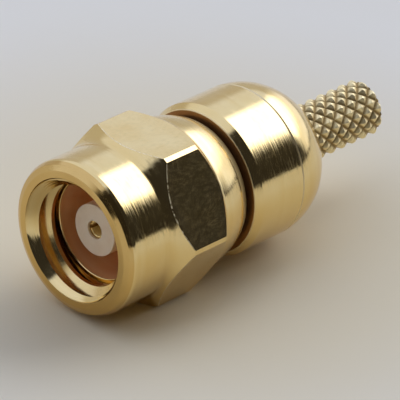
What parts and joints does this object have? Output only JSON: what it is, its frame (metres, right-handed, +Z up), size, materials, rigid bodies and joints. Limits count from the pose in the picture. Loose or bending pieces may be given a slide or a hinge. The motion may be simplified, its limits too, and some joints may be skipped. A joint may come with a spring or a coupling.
{
  "type": "coaxial connector plug",
  "caption": "Small gold-plated straight coaxial plug with a hexagon coupling nut that spins on a round body, a white insulator round the socket contact and a knurled crimp stem.",
  "frame": {"origin": "centre of the insulator's front face, on the turning axis", "axes": "+X along the axis towards the mating end, +Z up, with one flat of the nut's hexagon facing straight down"},
  "size_m": [0.0159, 0.0072, 0.0064],
  "materials": {
    "gold_plate": "polished gold plate over turned brass",
    "spring_bronze": "plain spring bronze",
    "ptfe": "white fluoropolymer, slightly waxy"
  },
  "bodies": {
    "plug": {"main_body": "gold_plate", "insulator": "ptfe", "centre_contact": "gold_plate", "crimp_stem": "gold_plate"},
    "ring": {"lock_ring": "spring_bronze"},
    "nut": {"coupling_nut": "gold_plate"}
  },
  "joints": [
    {"name": "nut_spin", "type": "hinge", "parent": "plug", "child": "ring", "pos_m": [-0.0026, 0, 0], "axis": [1, 0, 0], "continuous": true},
    {"name": "nut_float", "type": "slide", "parent": "ring", "child": "nut", "axis": [1, 0, 0], "range_m": [0, 0.0003]}
  ]
}
